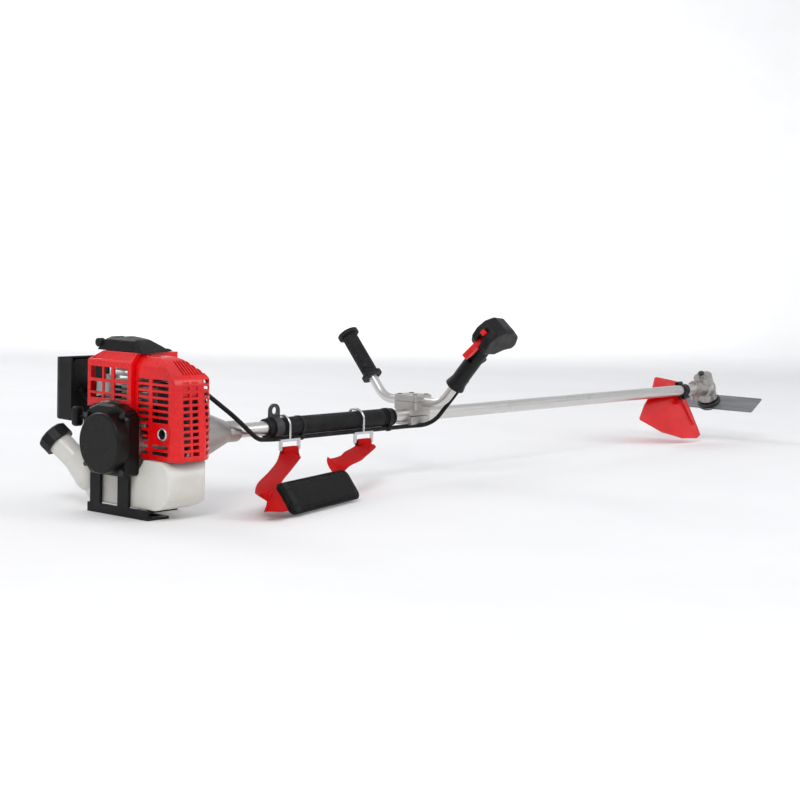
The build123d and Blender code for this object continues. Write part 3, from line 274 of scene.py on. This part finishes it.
def pad_cloth(name):
    """Black nylon: fine square weave with a faint sheen."""
    made, tree, shader, place = material(name, (0.012, 0.012, 0.013), 0.75, Sheen_Weight=0.05,
                                         Sheen_Roughness=0.5, Specular_IOR_Level=0.12)
    weave = multiply(tree, waves(tree, place.outputs["Object"], 260, "X"),
                     waves(tree, place.outputs["Object"], 260, "Y"))
    tree.links.new(ramp(tree, weave, [(0.0, (0.0012, 0.0012, 0.0012)), (0.7, (0.0052, 0.0052, 0.0055))]),
                   shader.inputs["Base Color"])
    first = bump(tree, shader, weave, 0.0004)
    bump(tree, shader, noise(tree, place, 55, 5), 0.0012, 0.6, first)
    return made


def knurled_rubber(name):
    """Moulded rubber with a raised diamond pattern."""
    made, tree, shader, place = material(name, (0.014, 0.014, 0.015), 0.6, Specular_IOR_Level=0.3)
    stops = [(0.35, (0.005, 0.005, 0.006)), (0.75, (0.015, 0.015, 0.016))]
    tree.links.new(ramp(tree, noise(tree, place, 45, 6), stops), shader.inputs["Base Color"])
    diamonds = []
    for flip in (1, -1):
        mapping = tree.nodes.new("ShaderNodeMapping")
        mapping.inputs["Scale"].default_value = (1, 1, flip)
        tree.links.new(place.outputs["Object"], mapping.inputs["Vector"])
        diamonds.append(waves(tree, mapping.outputs["Vector"], 48, "DIAGONAL"))
    first = bump(tree, shader, multiply(tree, *diamonds), 0.0016, 0.9)
    bump(tree, shader, noise(tree, place, 1100, 3), 0.0002, 0.6, first)
    return made


RED = (0.74, 0.002, 0.004)
BLACK = (0.0048, 0.0048, 0.0052)
LOOKS = {
    "red_plastic": plastic("red_plastic", RED, 0.22, 0.36, 420, 0.00012, (0.84, 1.08),
                           Coat_Weight=0.15, Specular_IOR_Level=0.35),
    "guard_red": plastic("guard_red", (0.70, 0.002, 0.004), 0.14, 0.26, 38, 0.0005, (0.84, 1.08),
                         Coat_Weight=0.25, Specular_IOR_Level=0.4),
    "black_plastic": plastic("black_plastic", BLACK, 0.36, 0.52, 900, 0.0002, (0.8, 1.6),
                             Specular_IOR_Level=0.24),
    "starter_black": plastic("starter_black", (0.0034, 0.0028, 0.0028), 0.26, 0.40, 800, 0.00012,
                             (0.8, 1.6), Specular_IOR_Level=0.24),
    "white_plastic": tank_plastic("white_plastic"),
    "clear_plastic": clear_silicone("clear_plastic"),
    "black_rubber": rubber("black_rubber", (0.0055, 0.0055, 0.006)),
    "grip_rubber": knurled_rubber("grip_rubber"),
    "grey_foam": foam("grey_foam"),
    "cast_aluminium": metal("cast_aluminium", (0.46, 0.445, 0.42), 0.34, 0.50, 320, (1, 1, 1),
                            0.00018, (0.86, 1.10)),
    "tube_aluminium": metal("tube_aluminium", (0.66, 0.65, 0.63), 0.26, 0.38, 300, (0.02, 1, 1),
                            0.00003, (0.92, 1.06)),
    "zinc": metal("zinc", (0.42, 0.41, 0.38), 0.34, 0.50, 220, (1, 1, 1), 0.0002),
    "bright_steel": metal("bright_steel", (0.60, 0.60, 0.61), 0.18, 0.32, 300, (0.2, 1, 1), 0.00003),
    "blade_steel": blade_steel("blade_steel"),
    "dark_steel": coated_steel("dark_steel"),
    "brass": metal("brass", (0.72, 0.52, 0.25), 0.3, 0.45, 200, (1, 1, 1), 0.0001),
    "red_webbing": webbing("red_webbing", (0.42, 0.001, 0.002), (0.86, 0.003, 0.004)),
    "black_webbing": webbing("black_webbing", (0.010, 0.010, 0.011), (0.036, 0.036, 0.038)),
    "black_fabric": pad_cloth("black_fabric"),
}
# Nodes whose look differs from their slot's, and looks that belong to another slot of the record.
FINISH = {"left_grip": "grip_rubber", "screws": "dark_steel"}


def dress(obj, slot):
    """Gives an object one look and nothing else."""
    obj.data.materials.clear()
    obj.data.materials.append(LOOKS[slot])


for node_name, node in NODES.items():
    dress(node, FINISH.get(node_name, SLOT_OF[node_name]))


# ---- mesh helpers ----
def shade_smooth(mesh):
    mesh.polygons.foreach_set("use_smooth", [True] * len(mesh.polygons))


def piece(name, vertices, faces, slot, body, uvs=None):
    """A mesh object in the row frame that rides on a body; uvs is one (u, v) for each vertex."""
    mesh = bpy.data.meshes.new(name)
    mesh.from_pydata([tuple(v) for v in vertices], [], faces)
    mesh.update()
    if uvs:
        layer = mesh.uv_layers.new(name="uv")
        for loop in mesh.loops:
            layer.data[loop.index].uv = uvs[loop.vertex_index]
    shade_smooth(mesh)
    obj = bpy.data.objects.new(name, mesh)
    bpy.context.scene.collection.objects.link(obj)
    mesh.materials.append(LOOKS[slot])
    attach(obj, body)
    return obj


def through(points, t):
    """The point at t, from 0 to 1, on a smooth curve through the points."""
    spans = len(points) - 1
    place = min(max(t, 0.0), 1.0) * spans
    index = min(int(place), spans - 1)
    u = place - index
    p1, p2 = points[index], points[index + 1]
    p0 = points[index - 1] if index else p1 * 2 - p2
    p3 = points[index + 2] if index + 2 <= spans else p2 * 2 - p1
    return 0.5 * (2 * p1 + (p2 - p0) * u + (2 * p0 - 5 * p1 + 4 * p2 - p3) * u ** 2
                  + (3 * p1 - p0 - 3 * p2 + p3) * u ** 3)


def lofted(rings):
    """The faces between closed rings of equal length, and a cap at each end."""
    size, last = len(rings[0]), len(rings) - 1
    faces = [(i * size + j, i * size + (j + 1) % size, (i + 1) * size + (j + 1) % size, (i + 1) * size + j)
             for i in range(last) for j in range(size)]
    return faces + [tuple(range(size))[::-1], tuple(last * size + j for j in range(size))]


def ribbon(name, stations, width, thickness, slot, body, count):
    """A flat band through (centre, width direction) stations; returns the piece and its length."""
    centres, widths = [Vector(c) for c, w in stations], [Vector(w).normalized() for c, w in stations]
    rings, uvs, run, last, across, near = [], [], 0.0, None, 6, 0.004
    for step in range(count + 1):
        t = step / count
        centre, wide = through(centres, t), through(widths, t).normalized()
        ahead = (through(centres, t + near) - through(centres, t - near)).normalized()
        wide = (wide - ahead * wide.dot(ahead)).normalized()
        out = ahead.cross(wide)
        run += (centre - last).length if last else 0.0
        last = centre
        ring = []
        for side in (1, -1):
            for k in range(across + 1):
                s = side * (1 - 2 * k / across)
                lift = thickness / 2 * (1 - abs(s) ** 6)
                ring.append(centre + wide * s * width / 2 + out * side * lift)
                uvs.append((s * width / 2, run))
        rings.append(ring)
    vertices = [v for ring in rings for v in ring]
    return piece(name, vertices, lofted(rings), slot, body, uvs), run


def tube(name, points, radius, slot, body, closed=False, sides=12):
    """A round bar through a list of points, as one mesh."""
    points = [Vector(p) for p in points]
    vertices, faces, count = [], [], len(points)
    side = None
    for index, point in enumerate(points):
        after = points[(index + 1) % count] if closed or index + 1 < count else point
        before = points[index - 1] if closed or index else point
        ahead = (after - before).normalized()
        side = ahead.orthogonal() if side is None else side - ahead * side.dot(ahead)
        side.normalize()
        other = ahead.cross(side)
        for k in range(sides):
            angle = 2 * pi * k / sides
            vertices.append(point + (side * cos(angle) + other * sin(angle)) * radius)
    for i in range(count if closed else count - 1):
        for k in range(sides):
            j, m = (i + 1) % count, (k + 1) % sides
            faces.append((i * sides + k, i * sides + m, j * sides + m, j * sides + k))
    if not closed:
        faces += [tuple(range(sides))[::-1], tuple((count - 1) * sides + k for k in range(sides))]
    return piece(name, vertices, faces, slot, body)


def stitches(name, runs, out, slot, body):
    """Short raised threads along straight runs of (start, end) points, on the side that faces out."""
    vertices, faces, length, gap, thick = [], [], 0.0032, 0.0022, 0.0004
    for start, end in runs:
        start, end = Vector(start), Vector(end)
        ahead = (end - start).normalized()
        side = ahead.cross(out).normalized()
        place, total = gap / 2, (end - start).length
        while place + length < total:
            base = len(vertices)
            for along, lift in ((0, 0), (0.25, 1), (0.75, 1), (1, 0)):
                centre = start + ahead * (place + along * length) + out * (lift * thick)
                vertices += [centre + side * thick, centre + out * thick, centre - side * thick]
            for k in range(3):
                a = base + 3 * k
                faces += [(a, a + 1, a + 4, a + 3), (a + 1, a + 2, a + 5, a + 4)]
            place += length + gap
    piece(name, vertices, faces, slot, body)


# ---- harness: shoulder pad ----
PAD_CENTRE = Vector((0.221, -0.156, 0.0286))
PAD_LENGTH, PAD_WIDTH, PAD_THICK = 0.240, 0.058, 0.013
PAD_CORNER, SEAM_INSET = 0.013, 0.008
BAND_X, BAND_WIDTH = -0.098, 0.017
turn, tilt = radians(13.5), radians(55)
ALONG = Vector((cos(turn), sin(turn), 0))
UP = Vector((-sin(turn) * cos(tilt), cos(turn) * cos(tilt), sin(tilt)))
OUT = ALONG.cross(UP)


def on_pad(x, y, z):
    """A point given along the pad, up its face and out of it."""
    return PAD_CENTRE + ALONG * x + UP * y + OUT * z


def pad_outline(inset, count):
    """Points round the pad's rounded rectangle, in its own plane."""
    half_x, half_y, points = PAD_LENGTH / 2 - inset, PAD_WIDTH / 2 - inset, []
    radius = PAD_CORNER
    for cx, cy, start in ((1, 1, 0), (-1, 1, 90), (-1, -1, 180), (1, -1, 270)):
        for k in range(count + 1):
            angle = radians(start + 90 * k / count)
            points.append((cx * (half_x - radius) + radius * cos(angle),
                           cy * (half_y - radius) + radius * sin(angle)))
    return points


def blown(obj, cap, axis):
    """Swells a closed mesh along axis with a short cloth simulation.

    No point moves further than cap, and little of the movement across the axis is kept.
    """
    frames, kept_across = 20, 0.15
    rest = [v.co.copy() for v in obj.data.vertices]
    cloth = obj.modifiers.new("swell", "CLOTH")
    cloth.settings.use_pressure = True
    cloth.settings.uniform_pressure_force = 4.0
    cloth.settings.effector_weights.gravity = 0.0
    cloth.point_cache.frame_end = frames
    scene = bpy.context.scene
    for number in range(1, frames + 1):
        scene.frame_set(number)
    depsgraph = bpy.context.evaluated_depsgraph_get()
    swollen = bpy.data.meshes.new_from_object(obj.evaluated_get(depsgraph))
    obj.modifiers.remove(cloth)
    scene.frame_set(1)
    for vertex, start in zip(obj.data.vertices, rest):
        move = swollen.vertices[vertex.index].co - start
        move = axis * move.dot(axis) + (move - axis * move.dot(axis)) * kept_across
        if move.length > cap:
            move *= cap / move.length
        vertex.co = start + move
    bpy.data.meshes.remove(swollen)


def remeshed(obj, voxel):
    """Replaces the object's mesh with an even one of the same shape."""
    modifier = obj.modifiers.new("remesh", "REMESH")
    modifier.mode = "VOXEL"
    modifier.voxel_size = voxel
    depsgraph = bpy.context.evaluated_depsgraph_get()
    fine = bpy.data.meshes.new_from_object(obj.evaluated_get(depsgraph))
    obj.modifiers.remove(modifier)
    obj.data = fine


def shoulder_pad():
    """A stuffed pad: swollen by the cloth simulation, then drawn in along its sewn channels."""
    ring = pad_outline(0.0025, 8)
    count = len(ring)
    vertices = [on_pad(x, y, z) for z in (-0.0042, 0.0042) for x, y in ring]
    faces = [tuple(range(count))[::-1], tuple(range(count, 2 * count))]
    faces += [(k, (k + 1) % count, count + (k + 1) % count, count + k) for k in range(count)]
    pad = piece("shoulder-pad", vertices, faces, "black_fabric", "harness")
    remeshed(pad, 0.004)
    blown(pad, 0.004, OUT)
    for vertex in pad.data.vertices:
        offset = vertex.co - PAD_CENTRE
        x, y, z = offset.dot(ALONG), offset.dot(UP), offset.dot(OUT)
        edge = min(PAD_LENGTH / 2 - abs(x), PAD_WIDTH / 2 - abs(y))
        z *= 1 - 0.35 * max(0.0, 1 - abs(edge - SEAM_INSET) / 0.004)
        z += 0.0006 * sin(x * 95 + y * 40) * min(1.0, edge / 0.01)
        z = min(max(z, -PAD_THICK / 2), PAD_THICK / 2)
        vertex.co = on_pad(x, y, z)
    smooth = pad.modifiers.new("smooth", "SUBSURF")
    smooth.levels = smooth.render_levels = 1
    shade_smooth(pad.data)
    dress(pad, "black_fabric")
    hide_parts("shoulder_pad")


def pad_trim():
    """Binding round the edge, the sewn-on band at the left end, and the seam threads."""
    tube("pad-binding", [on_pad(x, y, 0) for x, y in pad_outline(0.0022, 12)], 0.0021,
         "black_fabric", "harness", closed=True)
    crown = [(on_pad(BAND_X, y, 0.0062 - 0.0022 * abs(y / 0.026) ** 3), tuple(ALONG))
             for y in (-0.0265, -0.018, -0.006, 0.006, 0.018, 0.0265)]
    band, length = ribbon("pad-band", crown, BAND_WIDTH, 0.0012, "black_webbing", "harness", 24)
    half_x, half_y = PAD_LENGTH / 2 - SEAM_INSET, PAD_WIDTH / 2 - SEAM_INSET
    lines = [((-half_x + 0.03, s * half_y), (half_x - 0.006, s * half_y)) for s in (1, -1)]
    stitches("pad-stitches", [(on_pad(*a, 0.0044), on_pad(*b, 0.0044)) for a, b in lines], OUT,
             "black_webbing", "harness")


# ---- harness: straps ----
STRAP_WIDTH, STRAP_THICK = 0.038, 0.0018
LOOP_X = {"left": 0.292, "right": 0.486}
ACROSS = (1, 0, 0)


def strap(side, stations, count):
    """One strap of webbing through its stations."""
    made, length = ribbon("strap-" + side, stations, STRAP_WIDTH, STRAP_THICK, "red_webbing", "harness",
                          count)
    return made


def strap_loop(side):
    """The end of the strap, turned back round the bar of its hook's loop."""
    x, width = LOOP_X[side], STRAP_WIDTH - 0.001
    stations = [((x, -0.0249, 0.0755), ACROSS), ((x, -0.0241, 0.0825), ACROSS),
                ((x, -0.0200, 0.0853), ACROSS), ((x, -0.0160, 0.0820), ACROSS),
                ((x, -0.0190, 0.0745), ACROSS), ((x - 0.004, -0.0240, 0.0695), ACROSS)]
    made, length = ribbon("strap-loop-" + side, stations, width, STRAP_THICK, "red_webbing", "harness", 40)


def straps():
    """Each strap goes round the bar of its hook's loop, down to the pad, and is sewn into it."""
    left = strap("left", [
        ((LOOP_X["left"], -0.0232, 0.0785), ACROSS), ((0.287, -0.0278, 0.0738), (1, -0.1, 0)),
        ((0.252, -0.053, 0.0655), (0.7, -0.65, 0.1)), ((0.193, -0.091, 0.057), (0.56, -0.82, 0.1)),
        ((0.130, -0.130, 0.048), (0.5, -0.85, 0)), ((0.086, -0.166, 0.038), (0.4, -0.85, -0.3)),
        ((0.066, -0.186, 0.032), (0.25, -0.75, -0.55)), ((0.077, -0.1935, 0.029), (0.1, -0.65, -0.72)),
        ((0.1035, -0.1850, 0.0285), tuple(-UP))], 150)
    over = on_pad(0.098, PAD_WIDTH / 2 + 0.011, -0.002)
    sewn = on_pad(0.097, PAD_WIDTH / 2 - 0.004, -0.001)
    right = strap("right", [
        ((LOOP_X["right"], -0.0232, 0.0785), ACROSS), ((0.479, -0.0320, 0.0735), (0.85, -0.52, 0)),
        ((0.446, -0.0500, 0.0705), (0.55, -0.83, -0.1)), ((0.404, -0.0720, 0.0680), (0.5, -0.85, -0.2)),
        ((0.372, -0.0900, 0.0655), (0.62, -0.75, -0.15)), (tuple(over), tuple(ALONG)),
        (tuple(sewn), tuple(ALONG))], 110)
    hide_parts("harness_straps")
    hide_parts("harness_straps")
    strap_loop("left")
    strap_loop("right")


shoulder_pad()
pad_trim()
straps()


# ---- exhaust tip: a rolled steel ring on the end of the outlet ----
def exhaust_tip():
    """A turned ring whose profile is a half-round lip with a bore."""
    x, y, z = -0.0650, -0.087, 0.136
    profile = [(0.0, 0.0072), (-0.0022, 0.0074), (-0.0034, 0.0084), (-0.0030, 0.0096),
               (-0.0012, 0.0103), (-0.0006, 0.0103), (-0.0006, 0.0092), (0.0, 0.0090)]
    vertices, faces, steps = [], [], 48
    for k in range(steps):
        angle = 2 * pi * k / steps
        vertices += [(x + along, y + r * cos(angle), z + r * sin(angle)) for along, r in profile]
    size = len(profile)
    for k in range(steps):
        a, b = k * size, ((k + 1) % steps) * size
        faces += [(a + i, a + (i + 1) % size, b + (i + 1) % size, b + i) for i in range(size)]
    piece("exhaust-tip", vertices, faces, "bright_steel", "frame")


exhaust_tip()


# ---- starter rope: one end in the housing, the other in the handle ----
ROPE_X, ROPE_Z = -0.091, 0.152
rope_points = [(ROPE_X, 0.0588 + 0.0197 * k / 80, ROPE_Z) for k in range(81)]
rope = tube("starter-rope", rope_points, 0.00185, "black_fabric", "frame", sides=10)
rope.parent = None
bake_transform(rope)


# ---- floor, light and air ----
FLAT_RADIUS, SWEEP = 5.0, 0.22


def floor():
    """A pale studio floor, flat round the object and swept up far behind it."""
    mesh = bpy.data.meshes.new("floor")
    build = bmesh.new()
    bmesh.ops.create_grid(build, x_segments=120, y_segments=120, size=12.0)
    for vertex in build.verts:
        far = max(0.0, ((vertex.co.x - 0.8) ** 2 + vertex.co.y ** 2) ** 0.5 - FLAT_RADIUS)
        vertex.co.z = SWEEP * far * far
    build.to_mesh(mesh)
    build.free()
    shade_smooth(mesh)
    ground = bpy.data.objects.new("floor", mesh)
    bpy.context.scene.collection.objects.link(ground)
    made, tree, shader, place = material("floor", (0.90, 0.90, 0.90), 0.9)
    stops = [(0.3, (0.89, 0.89, 0.89)), (0.7, (0.92, 0.92, 0.92))]
    tree.links.new(ramp(tree, noise(tree, place, 3, 4), stops), shader.inputs["Base Color"])
    mesh.materials.append(made)


def area_light(name, place, target, size, power):
    """A round soft light aimed at a point."""
    data = bpy.data.lights.new(name, "AREA")
    data.shape, data.size, data.energy = "DISK", size, power
    light = bpy.data.objects.new(name, data)
    bpy.context.scene.collection.objects.link(light)
    light.location = place
    light.rotation_euler = (Vector(target) - Vector(place)).to_track_quat("-Z", "Y").to_euler()


floor()
area_light("key", (-2.4, -1.6, 2.8), (0.4, 0, 0.1), 1.4, 52)
area_light("fill", (2.6, -3.2, 2.2), (0.9, 0, 0.2), 2.2, 40)
area_light("backdrop", (3.6, 3.2, 3.0), (6.6, 6.0, 1.0), 3.0, 105)
area_light("back", (0.6, 3.2, 2.6), (0.6, 0, 0.2), 2.0, 34)
world = bpy.data.worlds.new("air")
world.use_nodes = True
air = world.node_tree.nodes["Background"]
air.inputs["Color"].default_value = (0.95, 0.96, 1.0, 1)
air.inputs["Strength"].default_value = 0.72
bpy.context.scene.world = world
bpy.context.scene.view_settings.view_transform = "Standard"
